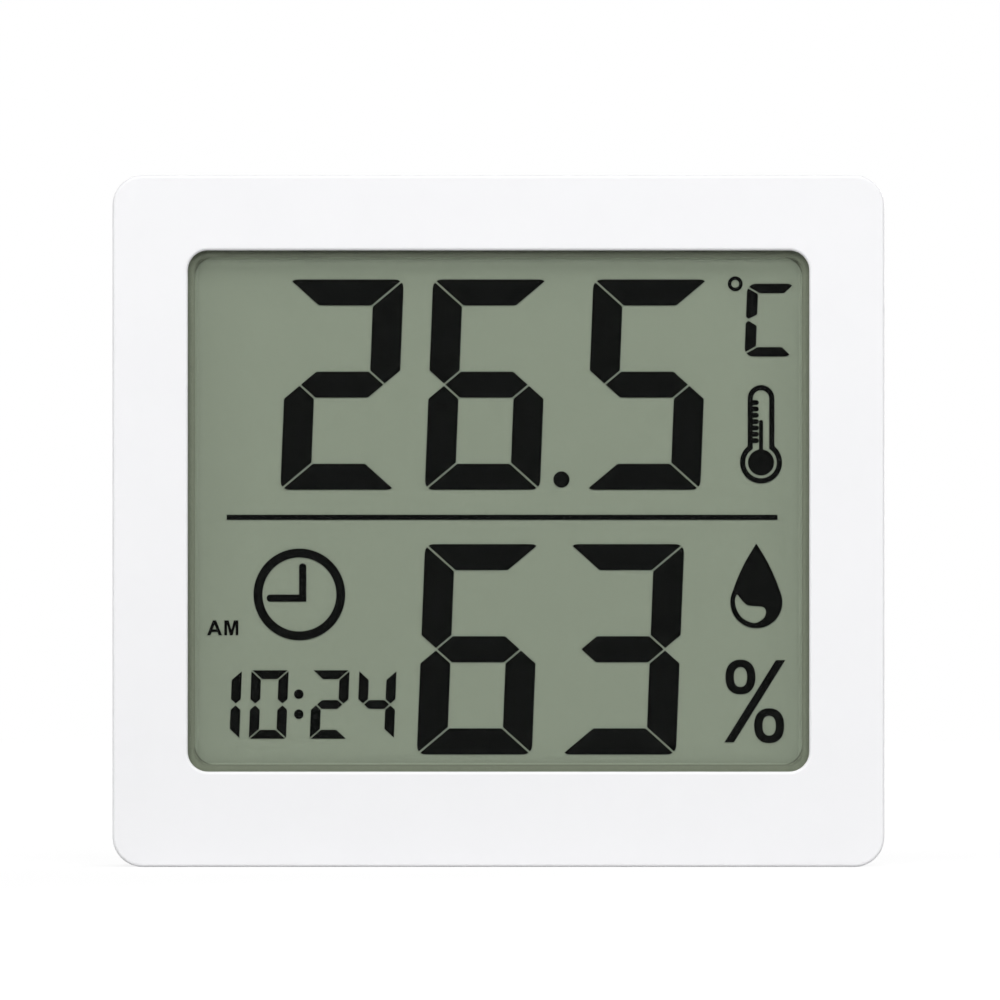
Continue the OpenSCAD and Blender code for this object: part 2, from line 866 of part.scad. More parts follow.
// Back of the case
module rear_cover() {
  lip_in = wall_t + slide_gap + lip_t;
  door_wall = tab_r + 1.4;
  key_r = key_dia / 2;
  color("White")
    difference() {
      union() {
        difference() {
          translate([0, y_at(cover_front), body_h / 2])
            rotate([-90, 0, 0])
              soft_plate(body_w, body_h, corner_r, body_d - cover_front, rear_edge_r);
          sheet(cover_front - cut, rear_inside)
            case_outline(lip_in);
        }
        // locating lip
        sheet(lip_front, cover_front + 0.4)
          difference() {
            case_outline(wall_t + slide_gap);
            case_outline(lip_in);
          }
        // screw posts, trimmed where they enter the bezel
        sheet(boss_back, cover_front + 0.2)
          intersection() {
            for (sx = [-1, 1], z = case_zs)
              translate([sx * case_x, z])
                circle(case_screw_r + 1.2);
            case_outline(wall_t + slide_gap);
          }
        at_case_screws()
          rod(0, 0, cover_front, rear_inside + 0.2, case_head_r + 1.2);
        // wall of the battery opening
        rod(0, door_z, ledge_front, rear_inside + 0.2, door_wall);
        // box behind the hanging slot
        sheet(pocket_front - pocket_t, rear_inside + 0.2)
          intersection() {
            translate([0, hang_z])
              upright_slot(pocket_r + pocket_t, hang_run);
            case_outline(wall_t + slide_gap + 0.3);
          }
        // bed of the stand, deeper at its hinge
        block(-recess_w / 2 - recess_t, recess_w / 2 + recess_t, 1, recess_top + recess_t,
          recess_floor - recess_t, rear_inside + 0.2);
        block(-recess_w / 2 - recess_t, recess_w / 2 + recess_t, trough_foot - recess_t,
          recess_top + recess_t, trough_floor - recess_t, rear_inside + 0.2);
        for (sx = [-1, 1])
          translate([sx * (recess_w / 2 + 1.7), 0, 0])
            block(-1.7, 1.7, stand_z - 2.6, stand_z + 2.6, trough_floor - recess_t, rear_inside + 0.2);
        // thicker wall round the keys
        sheet(dish_inside, rear_inside + 0.2)
          translate([-key_x, key_zs[2]])
            upright_slot(key_r + 3, 2 * key_pitch);
      }
      // case screws
      at_case_screws() {
        rod(0, 0, boss_back - cut, screw_seat + cut, case_screw_r + slide_gap);
        rod(0, 0, screw_seat, body_d + cut, case_head_r + seat_gap);
      }
      // battery opening with its ledge
      rod(0, door_z, ledge_back, body_d + cut, door_r + slide_gap);
      rod(0, door_z, ledge_front - cut, ledge_back + 0.1, ledge_r);
      sheet(ledge_front - cut, ledge_back + 0.1)
        translate([0, door_z])
          for (a = [90, 210, 330])
            ring_sector(ledge_r - 0.3, tab_r + 0.2, a - door_turn, notch_span);
      // dots that show the door locked and free
      for (a = [0, -door_turn])
        rod(dot_ring * cos(a), door_z + dot_ring * sin(a), body_d - dot_deep, body_d + cut, dot_r);
      // hanging slot
      sheet(pocket_front, rear_inside)
        translate([0, hang_z])
          upright_slot(pocket_r, hang_run);
      sheet(rear_inside - 0.1, body_d + cut)
        translate([0, hang_z])
          upright_slot(hang_slot_r, hang_run);
      rod(0, hang_z, rear_inside - 0.1, body_d + cut, hang_r);
      // recess of the stand
      block(-recess_w / 2, recess_w / 2, -cut, recess_top, recess_floor, body_d + cut);
      block(-recess_w / 2, recess_w / 2, trough_foot, recess_top, trough_floor, body_d + cut);
      for (sx = [-1, 1])
        translate([sx * (recess_w / 2 + pin_run / 2 - 0.1), y_at(stand_d), stand_z])
          rotate([0, 90, 0])
            cylinder(r = pin_r + pin_gap, h = pin_run + 0.3, center = true);
      // shallow dish and holes for the keys
      sheet(dish_floor, body_d + cut)
        translate([-key_x, key_zs[2]])
          upright_slot(key_r + 2, 2 * key_pitch);
      for (z = key_zs)
        rod(-key_x, z, dish_inside - cut, body_d + cut, key_r + slide_gap);
      // vents
      sheet(rear_inside - cut, body_d + cut)
        for (k = [0 : vent_count - 1])
          translate([key_x + 5, door_z + 3 * (k - (vent_count - 1) / 2)])
            rotate(90)
              upright_slot(0.7, 10);
    }
}

// Round door with a coin slot, a skirt with three tabs and a ring that holds
// the cell down
module battery_door() {
  slot_w = 12;
  slot_h = 2.2;
  slot_deep = 0.9;
  press_r = coin_r - 1;
  press_t = 1.2;
  color("White") {
    difference() {
      translate([0, y_at(door_back), door_z])
        rotate([-90, 0, 0])
          rotate_extrude()
            rim_profile(door_r, door_t, 0.3);
      sheet(door_face - slot_deep, door_face + cut)
        translate([0, door_z])
          square([slot_w, slot_h], center = true);
      rod(door_r - 2, door_z, door_face - dot_deep, door_face + cut, dot_r);
    }
    difference() {
      rod(0, door_z, tab_front, door_back + 0.1, skirt_r);
      rod(0, door_z, tab_front - cut, door_back, skirt_r - skirt_t);
    }
    difference() {
      rod(0, door_z, coin_back + seat_gap, door_back + 0.1, press_r);
      rod(0, door_z, coin_back, door_back, press_r - press_t);
    }
    sheet(tab_front, tab_back)
      translate([0, door_z])
        for (a = [90, 210, 330])
          ring_sector(skirt_r - skirt_t / 2, tab_r, a, tab_span);
  }
}

// Fold-out stand: plate, hinge barrel, pins and grip grooves
module stand() {
  foot_r = 3;
  color("White")
    difference() {
      union() {
        intersection() {
          translate([-stand_w / 2, 0, 0])
            rotate([90, 0, 90])
              linear_extrude(stand_w) {
                translate([y_at(stand_back), stand_foot])
                  square([stand_t, stand_z + stand_head - stand_foot]);
                translate([y_at(stand_d), stand_z])
                  circle(barrel_r);
              }
          sheet(stand_d - 3, body_d + cut) {
            translate([0, stand_foot + 2 * foot_r])
              rounded_rect(stand_w, 4 * foot_r, foot_r);
            translate([-stand_w / 2, stand_foot + 2 * foot_r])
              square([stand_w, stand_z]);
          }
        }
        translate([-stand_w / 2 - pin_run + 0.2, y_at(stand_d), stand_z])
          rotate([0, 90, 0])
            cylinder(r = pin_r, h = stand_w + 2 * pin_run - 0.4);
      }
      sheet(stand_face - 0.5, body_d + cut)
        for (k = [0 : 2])
          translate([6, stand_foot + 2.6 + 2 * k])
            rotate(90)
              upright_slot(0.5, 12);
    }
}

front_bezel();
display_window();
dust_gasket();
front_polarizer();
front_glass();
cell_seal();
lcd_segments();
rear_glass();
reflector();
foam_pad();
contact_strip();
circuit_board();
controller_blob();
clock_crystal();
humidity_sensor();
thermistor();
chip_resistors();
chip_capacitors();
battery_holder();
negative_contact();
positive_contact();
coin_cell();
upper_switch();
middle_switch();
lower_switch();
board_screws();
rear_cover();
case_screws();
upper_plunger();
upper_key();
middle_plunger();
middle_key();
lower_plunger();
lower_key();
battery_door();
stand();
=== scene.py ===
"""Looks of a temperature and humidity sensor: a white case with a large segment display."""

import math

import bpy
import numpy as np
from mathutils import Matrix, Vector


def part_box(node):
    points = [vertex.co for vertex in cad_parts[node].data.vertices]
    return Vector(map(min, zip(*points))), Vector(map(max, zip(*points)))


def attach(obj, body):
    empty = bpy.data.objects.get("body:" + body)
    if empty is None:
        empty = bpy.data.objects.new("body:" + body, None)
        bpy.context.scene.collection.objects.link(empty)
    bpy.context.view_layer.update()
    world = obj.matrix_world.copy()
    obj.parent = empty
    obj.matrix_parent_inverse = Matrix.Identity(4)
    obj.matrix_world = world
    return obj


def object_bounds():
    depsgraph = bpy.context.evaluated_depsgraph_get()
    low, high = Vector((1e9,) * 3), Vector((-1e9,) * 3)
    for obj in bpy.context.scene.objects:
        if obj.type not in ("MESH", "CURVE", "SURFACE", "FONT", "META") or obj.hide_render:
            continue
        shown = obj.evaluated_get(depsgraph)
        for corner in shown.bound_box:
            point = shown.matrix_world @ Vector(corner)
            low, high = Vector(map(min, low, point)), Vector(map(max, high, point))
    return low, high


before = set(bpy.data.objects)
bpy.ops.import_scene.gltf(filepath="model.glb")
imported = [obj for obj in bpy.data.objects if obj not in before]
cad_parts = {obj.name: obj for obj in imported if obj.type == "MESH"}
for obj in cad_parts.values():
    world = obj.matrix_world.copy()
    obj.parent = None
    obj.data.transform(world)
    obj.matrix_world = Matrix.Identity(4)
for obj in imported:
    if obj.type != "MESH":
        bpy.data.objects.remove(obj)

MM = 0.001
cad_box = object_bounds()
scene = bpy.context.scene
scene.view_settings.view_transform = "Standard"
# Light passes lens, film and glass on its way in and again on its way out.
scene.cycles.transparent_max_bounces = 24

# The display's drawing is laid out round the middle of the window, between
# the two glasses.
lens_low, lens_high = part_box("display_window")
WINDOW_X = (lens_low.x + lens_high.x) / 2
WINDOW_Z = (lens_low.z + lens_high.z) / 2
bars_low, bars_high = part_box("lcd_segments")
INK_FRONT = bars_low.y
INK_BACK = bars_high.y
# The gasket leaves this opening round the same middle.
OPENING_W, OPENING_H = 60.6 * MM, 50.6 * MM
OPENING_TOP, OPENING_FOOT = WINDOW_Z + OPENING_H / 2, WINDOW_Z - OPENING_H / 2
# The drawing was measured as if it lay at the front face, and its middle is
# a hair off the window's, in millimetres.
DRAWING_SCALE = 1.0012
DRAWING_X, DRAWING_Z = -0.03, 0.045
# Marks on the back stand out of the face this far, and reach this far into it.
RAISED = 0.25 * MM
SUNK = 0.1 * MM
# Most of a cloudy pattern lies between these two values.
PATTERN_LOW, PATTERN_HIGH = 0.3, 0.7


# Finishes

class Finish:
    """A material whose colour, gloss and relief follow patterns on Object coordinates."""

    def __init__(self, name, metal=0.0, specular=0.5):
        self.material = bpy.data.materials.new(name)
        self.material.use_nodes = True
        self.tree = self.material.node_tree
        self.shader = self.tree.nodes["Principled BSDF"]
        self.shader.inputs["Metallic"].default_value = metal
        self.shader.inputs["Specular IOR Level"].default_value = specular
        self.place = self.add("ShaderNodeTexCoord").outputs["Object"]

    def add(self, kind, **settings):
        """A new node with these settings."""
        node = self.tree.nodes.new(kind)
        for key, value in settings.items():
            setattr(node, key, value)
        return node

    def join(self, output, socket):
        """A link from an output to an input."""
        self.tree.links.new(output, socket)

    def noise(self, grain, detail=3.0, stretch=(1, 1, 1)):
        """Cloudy pattern with about one blob per grain, in metres, drawn out along
        each axis by stretch."""
        mapping = self.add("ShaderNodeMapping")
        mapping.inputs["Scale"].default_value = [1 / (grain * s) for s in stretch]
        self.join(self.place, mapping.inputs["Vector"])
        noise = self.add("ShaderNodeTexNoise")
        noise.inputs["Scale"].default_value = 1.0
        noise.inputs["Detail"].default_value = detail
        self.join(mapping.outputs["Vector"], noise.inputs["Vector"])
        return noise.outputs["Fac"]

    def cells(self, size, metric="EUCLIDEAN"):
        """Cell pattern of that size in metres: distance to the cells' middles, by a metric."""
        mapping = self.add("ShaderNodeMapping")
        mapping.inputs["Scale"].default_value = [1 / size] * 3
        self.join(self.place, mapping.inputs["Vector"])
        cells = self.add("ShaderNodeTexVoronoi", distance=metric)
        cells.inputs["Scale"].default_value = 1.0
        self.join(mapping.outputs["Vector"], cells.inputs["Vector"])
        return cells.outputs["Distance"]

    def bands(self, pitch, axis):
        """Even stripes across one axis, pitch metres apart."""
        mapping = self.add("ShaderNodeMapping")
        mapping.inputs["Scale"].default_value = [math.pi / 10 / pitch] * 3
        self.join(self.place, mapping.inputs["Vector"])
        wave = self.add("ShaderNodeTexWave", bands_direction=axis)
        wave.inputs["Scale"].default_value = 1.0
        self.join(mapping.outputs["Vector"], wave.inputs["Vector"])
        return wave.outputs["Fac"]

    def colour(self, pattern, low, high, start=PATTERN_LOW, stop=PATTERN_HIGH):
        """Colour runs from low to high while the pattern goes from start to stop."""
        ramp = self.add("ShaderNodeValToRGB")
        ramp.color_ramp.elements[0].position = start
        ramp.color_ramp.elements[0].color = (*low, 1)
        ramp.color_ramp.elements[1].position = stop
        ramp.color_ramp.elements[1].color = (*high, 1)
        self.join(pattern, ramp.inputs["Fac"])
        self.join(ramp.outputs["Color"], self.shader.inputs["Base Color"])

    def span(self, value, start, stop, low, high):
        """Runs evenly from low to high while the value goes from start to stop, and stays there."""
        span = self.add("ShaderNodeMapRange")
        for name, number in (("From Min", start), ("From Max", stop), ("To Min", low), ("To Max", high)):
            span.inputs[name].default_value = number
        self.join(value, span.inputs["Value"])
        return span.outputs["Result"]

    def past_edge(self, middle, half_w, half_h, corner_r):
        """Distance past the edge of an upright rectangle with round corners: the length of what x and z
        reach beyond the corner arcs' middles, less the corner radius."""
        steps = (
            ("SUBTRACT", (middle[0], 0, middle[1])),
            ("MULTIPLY", (1, 0, 1)),
            ("ABSOLUTE", None),
            ("SUBTRACT", (half_w - corner_r, 0, half_h - corner_r)),
            ("MAXIMUM", (0, 0, 0)),
        )
        output = self.place
        for operation, other in steps:
            node = self.add("ShaderNodeVectorMath", operation=operation)
            if other is not None:
                node.inputs[1].default_value = other
            self.join(output, node.inputs[0])
            output = node.outputs["Vector"]
        length = self.add("ShaderNodeVectorMath", operation="LENGTH")
        self.join(output, length.inputs[0])
        past = self.add("ShaderNodeMath", operation="SUBTRACT")
        past.inputs[1].default_value = corner_r
        self.join(length.outputs["Value"], past.inputs[0])
        return past.outputs["Value"]

    def height(self):
        """The z of each point."""
        parts = self.add("ShaderNodeSeparateXYZ")
        self.join(self.place, parts.inputs["Vector"])
        return parts.outputs["Z"]

    def through(self, entry, leave):
        """The colour passes one more node on its way to the shader."""
        colour = self.shader.inputs["Base Color"]
        self.join(colour.links[0].from_socket, entry)
        self.join(leave, colour)

    def lighter(self, value, start, stop, gain):
        """The colour gets evenly lighter or darker while the value goes from start to stop,
        and is gain times as light at last."""
        tone = self.add("ShaderNodeHueSaturation")
        self.join(self.span(value, start, stop, 1.0, gain), tone.inputs["Value"])
        self.through(tone.inputs["Color"], tone.outputs["Color"])

    def over(self, value, start, stop, colour):
        """Another colour covers the first while the value goes from start to stop."""
        mix = self.add("ShaderNodeMix", data_type="RGBA")
        # The mix node has a set of sockets for each kind of value; these are the ones for colours.
        share, first, second = (mix.inputs[i] for i in (0, 6, 7))
        mixed = mix.outputs[2]
        second.default_value = (*colour, 1)
        self.join(self.span(value, start, stop, 0.0, 1.0), share)
        self.through(first, mixed)

    def rough(self, pattern, low, high):
        """Roughness runs from low to high with the pattern."""
        gloss = self.span(pattern, PATTERN_LOW, PATTERN_HIGH, low, high)
        self.join(gloss, self.shader.inputs["Roughness"])

    def relief(self, pattern, depth):
        """The pattern stands out of the surface by depth, in metres."""
        bump = self.add("ShaderNodeBump")
        bump.inputs["Strength"].default_value = 1.0
        bump.inputs["Distance"].default_value = depth
        self.join(pattern, bump.inputs["Height"])
        self.join(bump.outputs["Normal"], self.shader.inputs["Normal"])


def moulded(name, low, high, grain, depth, rough, specular=0.5):
    """Moulded plastic: faint cloudy colour, gloss that varies a little and a fine pressed grain."""
    cloud_size, rough_spread = 9 * MM, 0.04
    finish = Finish(name, specular=specular)
    cloud = finish.noise(cloud_size)
    pressed = finish.noise(grain, detail=2.0)
    finish.colour(cloud, low, high)
    finish.rough(cloud, rough - rough_spread, rough + rough_spread)
    finish.relief(pressed, depth)
    return finish.material


def plated(name, low, high, stretch, rough):
    """Rolled or turned metal: fine streaks drawn out along one axis."""
    streak_w, streak_depth = 0.12 * MM, 0.002 * MM
    finish = Finish(name, metal=1.0)
    streaks = finish.noise(streak_w, stretch=stretch)
    finish.colour(streaks, low, high)
    finish.rough(streaks, rough - 0.08, rough + 0.1)
    finish.relief(streaks, streak_depth)
    return finish.material


def case_white():
    """Cool white plastic with the fine grain of the front."""
    return moulded(
        "satin_white_plastic", (0.868, 0.868, 0.883), (0.88, 0.88, 0.894),
        grain=0.16 * MM, depth=0.0012 * MM, rough=0.5, specular=0.35,
    )


def cover_white():
    """The same plastic with the coarser grain of the back."""
    return moulded(
        "grained_white_plastic", (0.855, 0.855, 0.87), (0.873, 0.873, 0.887),
        grain=0.22 * MM, depth=0.006 * MM, rough=0.6, specular=0.35,
    )


def key_grey():
    """Light grey plastic of the keys."""
    return moulded(
        "grey_key_plastic", (0.60, 0.61, 0.62), (0.64, 0.65, 0.66),
        grain=0.2 * MM, depth=0.004 * MM, rough=0.5,
    )


def clear_lens():
    """Clear sheet: lets everything through but a reflection, whose share grows from least
    to most with the fifth power of the slant."""
    least, most = 0.002, 0.8
    finish = Finish("clear_sheet")
    finish.tree.nodes.remove(finish.shader)
    clear = finish.add("ShaderNodeBsdfTransparent")
    clear.inputs["Color"].default_value = (0.985, 0.99, 0.985, 1)
    shine = finish.add("ShaderNodeBsdfGlossy")
    shine.inputs["Roughness"].default_value = 0.06
    slant = finish.add("ShaderNodeLayerWeight")
    slant.inputs["Blend"].default_value = 0.5
    power = finish.add("ShaderNodeMath", operation="POWER")
    power.inputs[1].default_value = 5.0
    finish.join(slant.outputs["Facing"], power.inputs[0])
    mix = finish.add("ShaderNodeMixShader")
    finish.join(finish.span(power.outputs["Value"], 0.0, 1.0, least, most), mix.inputs["Fac"])
    finish.join(clear.outputs["BSDF"], mix.inputs[1])
    finish.join(shine.outputs["BSDF"], mix.inputs[2])
    finish.join(mix.outputs["Shader"], finish.tree.nodes["Material Output"].inputs["Surface"])
    return finish.material


def see_through(name, low, high, alpha):
    """Thin film or glass inside the display, which only tints what lies behind it."""
    finish = Finish(name, specular=0.0)
    cloud = finish.noise(4 * MM)
    finish.colour(cloud, low, high)
    finish.rough(cloud, 0.25, 0.35)
    finish.shader.inputs["Alpha"].default_value = alpha
    return finish.material


def display_ground():
    """Grey-green ground of the display: fine sparkle of the reflecting film, with painted shade that
    darkens it a little towards the top and the left and right; painted light in strips along the edges
    of the opening, which offsets the shade of the rim and gasket there; and beyond its round corners a
    fine line and a tone a little lighter than the gasket's, as painted light against the shade there."""
    corner_r, rim_shade_run = 2.0 * MM, 6.0 * MM
    # The painted shade's rectangle reaches twice this far below the opening, whose foot so stays light.
    foot_spare = 2.0 * MM
    finish = Finish("display_ground", specular=0.1)
    cloud = finish.noise(0.25 * MM, detail=4.0)
    middle, half_w, half_h = (WINDOW_X, WINDOW_Z), OPENING_W / 2, OPENING_H / 2
    edge = finish.past_edge(middle, half_w, half_h, corner_r)
    painted_light_sides = finish.past_edge(middle, half_w, OPENING_H, corner_r)
    lower = (WINDOW_X, WINDOW_Z - foot_spare)
    rim_shade = finish.past_edge(lower, half_w, half_h + foot_spare, rim_shade_run)
    height = finish.height()
    finish.colour(cloud, (0.242, 0.275, 0.212), (0.258, 0.292, 0.226))
    finish.over(edge, 0, 0.04 * MM, (0.115, 0.128, 0.096))
    # Beyond the round corners, the gasket's tone made a little lighter than the gasket itself, as
    # painted light against the shade at that depth.
    finish.over(edge, 0.1 * MM, 0.14 * MM, (0.2, 0.222, 0.166))
    # Painted shade of the rim: the ground a little darker towards the top, left and right of the
    # opening.
    finish.lighter(rim_shade, -rim_shade_run, 0, 0.93)
    # Painted light: the ground lighter in strips along the left, right, foot and top of the opening, to
    # offset the shade that the rim and gasket cast there.
    finish.lighter(painted_light_sides, -0.4 * MM, 0, 1.65)
    finish.lighter(height, OPENING_FOOT + 0.2 * MM, OPENING_FOOT, 1.5)
    finish.lighter(height, OPENING_TOP - 1.0 * MM, OPENING_TOP, 1.25)
    finish.lighter(height, OPENING_TOP - 0.4 * MM, OPENING_TOP - 0.1 * MM, 1.9)
    finish.rough(cloud, 0.6, 0.75)
    return finish.material


def gasket_olive():
    """Foam rubber, darker along the edge of its opening, with painted shade under the rim's top."""
    finish = Finish("olive_foam_rubber", specular=0.1)
    cloud = finish.noise(0.5 * MM, detail=4.0)
    corner_r = 1.3 * MM
    edge = finish.past_edge((WINDOW_X, WINDOW_Z), OPENING_W / 2, OPENING_H / 2, corner_r)
    finish.colour(cloud, (0.182, 0.203, 0.151), (0.196, 0.218, 0.163))
    finish.lighter(edge, 0.25 * MM, 0, 0.82)
    # Painted shade: the gasket darker under the rim's top.
    finish.lighter(finish.height(), OPENING_TOP - 0.2 * MM, OPENING_TOP + 0.1 * MM, 0.87)
    finish.rough(cloud, 0.7, 0.85)
    finish.relief(cloud, 0.004 * MM)
    return finish.material


def display_ink():
    """Nearly black, dull bars and signs of the display."""
    finish = Finish("display_ink", specular=0.0)
    cloud = finish.noise(0.6 * MM)
    finish.colour(cloud, (0.002, 0.002, 0.002), (0.0028, 0.0028, 0.0028))
    finish.rough(cloud, 0.5, 0.6)
    return finish.material


def foam_grey():
    """Open foam: round cells pressed into the surface."""
    finish = Finish("open_foam", specular=0.2)
    cells = finish.cells(0.5 * MM)
    finish.colour(cells, (0.06, 0.065, 0.07), (0.16, 0.17, 0.18), 0.1, 0.7)
    finish.rough(cells, 0.8, 0.95)
    finish.relief(cells, 0.15 * MM)
    return finish.material


def contact_rubber():
    """Layered rubber: thin dark conducting layers between pale ones."""
    finish = Finish("layered_rubber", specular=0.3)
    layers = finish.bands(0.18 * MM, "X")
    finish.colour(layers, (0.03, 0.03, 0.03), (0.55, 0.36, 0.34), 0.35, 0.65)
    finish.rough(layers, 0.55, 0.75)
    finish.relief(layers, 0.01 * MM)
    return finish.material


def board_green():
    """Solder mask over copper: blocks of copper show lighter through the green."""
    finish = Finish("green_solder_mask", specular=0.5)
    copper = finish.cells(2.4 * MM, metric="CHEBYCHEV")
    finish.colour(copper, (0.012, 0.085, 0.035), (0.03, 0.16, 0.065), 0.40, 0.44)
    finish.rough(copper, 0.3, 0.42)
    finish.relief(copper, 0.03 * MM)
    return finish.material


def dull(name, low, high, grain, depth, rough):
    """Resin, bead, chip and switch bodies: dull and finely mottled."""
    rough_spread = 0.06
    finish = Finish(name, specular=0.4)
    cloud = finish.noise(grain, detail=4.0)
    finish.colour(cloud, low, high)
    finish.rough(cloud, rough - rough_spread, rough + rough_spread)
    finish.relief(cloud, depth)
    return finish.material


# Every node with its finish; the signs of the display share the ink
INK = display_ink()
FINISHES = [
    (case_white(), ["front_bezel"]),
    (cover_white(), ["rear_cover", "battery_door", "stand"]),
    (key_grey(), ["upper_key", "middle_key", "lower_key"]),
    (clear_lens(), ["display_window"]),
    (gasket_olive(), ["dust_gasket"]),
    (see_through("polarizing_film", (0.30, 0.35, 0.27), (0.33, 0.38, 0.30), 0.002), ["front_polarizer"]),
    (see_through("thin_glass", (0.55, 0.62, 0.58), (0.60, 0.67, 0.63), 0.001), ["front_glass"]),
    (dull("grey_seal", (0.33, 0.35, 0.33), (0.38, 0.40, 0.38), 0.4 * MM, 0.002 * MM, 0.6),
     ["cell_seal"]),
    (INK, ["lcd_segments"]),
    (display_ground(), ["rear_glass", "reflector"]),
    (foam_grey(), ["foam_pad"]),
    (contact_rubber(), ["contact_strip"]),
    (board_green(), ["circuit_board"]),
    (dull("black_resin", (0.006, 0.006, 0.007), (0.012, 0.012, 0.013), 0.8 * MM, 0.02 * MM, 0.3),
     ["controller_blob"]),
    (plated("tin_plate", (0.55, 0.54, 0.50), (0.72, 0.71, 0.67), (12, 1, 1), 0.28),
     ["clock_crystal", "negative_contact", "positive_contact"]),
    (dull("white_sensor_shell", (0.74, 0.75, 0.76), (0.80, 0.81, 0.82), 0.5 * MM, 0.004 * MM, 0.5),
     ["humidity_sensor"]),
    (dull("brown_glaze", (0.05, 0.02, 0.01), (0.09, 0.035, 0.015), 0.3 * MM, 0.01 * MM, 0.25),
     ["thermistor"]),
    (dull("black_chip", (0.01, 0.01, 0.011), (0.02, 0.02, 0.022), 0.2 * MM, 0.003 * MM, 0.45),
     ["chip_resistors"]),
    (dull("tan_chip", (0.33, 0.22, 0.12), (0.40, 0.27, 0.15), 0.2 * MM, 0.003 * MM, 0.5),
     ["chip_capacitors"]),
    (dull("black_plastic", (0.012, 0.012, 0.013), (0.02, 0.02, 0.021), 0.25 * MM, 0.005 * MM, 0.5),
     ["upper_switch", "middle_switch", "lower_switch", "battery_holder"]),
    (plated("pressed_steel", (0.58, 0.58, 0.57), (0.70, 0.70, 0.69), (20, 1, 1), 0.22), ["coin_cell"]),
    (dull("ivory_plastic", (0.62, 0.58, 0.46), (0.68, 0.64, 0.52), 0.3 * MM, 0.003 * MM, 0.45),
     ["upper_plunger", "middle_plunger", "lower_plunger"]),
    (plated("turned_steel", (0.42, 0.42, 0.43), (0.58, 0.58, 0.59), (1, 8, 1), 0.3),
     ["board_screws", "case_screws"]),
]
FINISH = {name: material for material, names in FINISHES for name in names}


def dress_nodes():
    """Each node's object shows its finish in place of the plain colour it came with."""
    for name, material in FINISH.items():
        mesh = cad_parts[name].data
        mesh.materials.clear()
        mesh.materials.append(material)


# Signs of the display. Their outlines are x and z pairs in millimetres from
# the middle of the window, running to the left round the shape as seen from the front.

def arc(centre, radius, start, stop, count=24):
    """Points on a circle from one angle to another, in degrees from +X towards +Z."""
    turn = np.radians(np.linspace(start, stop, count))
    return np.stack([centre[0] + radius * np.cos(turn), centre[1] + radius * np.sin(turn)], 1)


def oval(centre, half_w, half_h, power=2.0, count=96):
    """Closed loop |x/a|^p + |z/b|^p = 1: an ellipse for p of 2, squarer above."""
    turn = np.linspace(0, 2 * np.pi, count, endpoint=False)
    c, s = np.cos(turn), np.sin(turn)
    x = half_w * np.sign(c) * np.abs(c) ** (2 / power)
    z = half_h * np.sign(s) * np.abs(s) ** (2 / power)
    return np.stack([centre[0] + x, centre[1] + z], 1)


def keyhole(bulb, bulb_r, half_w, cap_z, count=24):
    """Loop round a bulb with a round-topped neck: an arc of the bulb from neck to neck, then
    the cap's half circle."""
    neck = math.degrees(math.asin(half_w / bulb_r))
    round_bulb = arc(bulb, bulb_r, 90 + neck, 450 - neck, 3 * count)
    cap = arc((bulb[0], cap_z), half_w, 0, 180, count)
    return np.concatenate([round_bulb, cap])


def smooth_run(points, count=12):
    """Open curve through the points: between each two a cubic whose slopes run along their
    neighbours' chords."""
    p = np.array([points[0], *points, points[-1]], float)
    t = np.linspace(0, 1, count, endpoint=False)[None, :, None]
    a, b, c, d = (p[k:len(p) - 3 + k, None, :] for k in range(4))
    square, cube = 2 * a - 5 * b + 4 * c - d, 3 * b - a - 3 * c + d
    curve = 0.5 * (2 * b + (c - a) * t + square * t ** 2 + cube * t ** 3)
    return np.concatenate([curve.reshape(-1, 2), p[-1:]])


def on_display(outline):
    """The drawing's x and z in millimetres, moved to their place in the case."""
    middle = np.array([WINDOW_X / MM + DRAWING_X, WINDOW_Z / MM + DRAWING_Z])
    return middle + DRAWING_SCALE * np.asarray(outline, float)


def stack(outlines, depths):
    """Closed solid: outlines of equally many points, one at each y from front to back, joined by
    walls and capped. Gives its points and groups of faces with equally many corners."""
    n = len(outlines[0])
    rows = [np.stack([o[:, 0] * MM, np.full(n, y), o[:, 1] * MM], 1) for o, y in zip(outlines, depths)]
    r, k = np.meshgrid(np.arange(len(rows) - 1), np.arange(n), indexing="ij")
    after = (k + 1) % n
    walls = np.stack([r * n + k, r * n + n + k, r * n + n + after, r * n + after], -1).reshape(-1, 4)
    front = np.arange(n)[None]
    back = front[:, ::-1] + (len(rows) - 1) * n
    return np.concatenate(rows), [front, back, walls]


def ring(outer, inner, front, back):
    """Closed ring: a four-cornered profile, inner and outer loop at front and back, carried round
    both loops. Gives its points and one group of faces."""
    n = len(outer)
    rows = [np.stack([o[:, 0] * MM, np.full(n, y), o[:, 1] * MM], 1)
            for o, y in ((inner, front), (outer, front), (outer, back), (inner, back))]
    r, k = np.meshgrid(np.arange(4), np.arange(n), indexing="ij")
    r_after, k_after = (r + 1) % 4, (k + 1) % n
    faces = np.stack([r * n + k, r_after * n + k, r_after * n + k_after, r * n + k_after], -1)
    return np.concatenate(rows), [faces.reshape(-1, 4)]


def plate(outline):
    """Flat patch of ink between the two glasses."""
    return stack([on_display(outline)] * 2, [INK_FRONT, INK_BACK])


def band(outer, inner):
    """Flat ring of ink between the two glasses."""
    return ring(on_display(outer), on_display(inner), INK_FRONT, INK_BACK)


def put_piece(name, body, slot, material, *solids):
    """One piece made of closed solids, which rides with a body."""
    points, faces, used = [], [], 0
    for solid_points, face_groups in solids:
        points.append(solid_points)
        for group in face_groups:
            faces += (group + used).tolist()
        used += len(solid_points)
    mesh = bpy.data.meshes.new(name)
    mesh.from_pydata(np.concatenate(points).tolist(), [], faces)
    mesh.update()
    mesh.materials.append(material)
    piece = bpy.data.objects.new(name, mesh)
    scene.collection.objects.link(piece)
    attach(piece, body)


